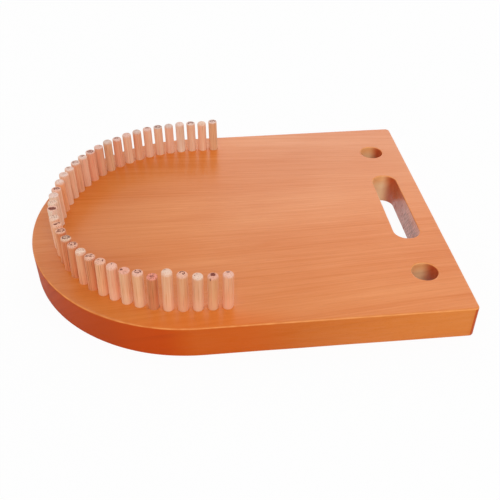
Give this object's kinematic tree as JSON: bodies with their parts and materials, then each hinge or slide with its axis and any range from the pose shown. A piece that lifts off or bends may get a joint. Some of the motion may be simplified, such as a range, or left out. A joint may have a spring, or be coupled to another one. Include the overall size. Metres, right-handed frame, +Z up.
{
  "type": "bracelet loom",
  "caption": "Stained wooden board with a half-round end ringed by short wooden pegs, a hand slot and post holes, for winding and weaving bracelets by hand.",
  "frame": {"origin": "middle of the board's outline, on its underside, under the centre of the bounding box", "axes": "+X along the board towards its straight end, +Y across it to the back row of pegs, +Z up"},
  "size_m": [0.25, 0.2, 0.0471],
  "materials": {
    "stained_wood": "orange-brown stain under clear satin lacquer, straight grain along the board",
    "peg_wood": "bare pale dowel, fine lengthwise grain, sawn ends"
  },
  "bodies": {
    "root": {"board": "stained_wood", "peg_01": "peg_wood", "peg_02": "peg_wood", "peg_03": "peg_wood", "peg_04": "peg_wood", "peg_05": "peg_wood", "peg_06": "peg_wood", "peg_07": "peg_wood", "peg_08": "peg_wood", "peg_09": "peg_wood", "peg_10": "peg_wood", "peg_11": "peg_wood", "peg_12": "peg_wood", "peg_13": "peg_wood", "peg_14": "peg_wood", "peg_15": "peg_wood", "peg_16": "peg_wood", "peg_17": "peg_wood", "peg_18": "peg_wood", "peg_19": "peg_wood", "peg_20": "peg_wood", "peg_21": "peg_wood", "peg_22": "peg_wood", "peg_23": "peg_wood", "peg_24": "peg_wood", "peg_25": "peg_wood", "peg_26": "peg_wood", "peg_27": "peg_wood", "peg_28": "peg_wood", "peg_29": "peg_wood", "peg_30": "peg_wood", "peg_31": "peg_wood", "peg_32": "peg_wood", "peg_33": "peg_wood", "peg_34": "peg_wood", "peg_35": "peg_wood", "peg_36": "peg_wood", "peg_37": "peg_wood", "peg_38": "peg_wood", "peg_39": "peg_wood"}
  },
  "joints": []
}
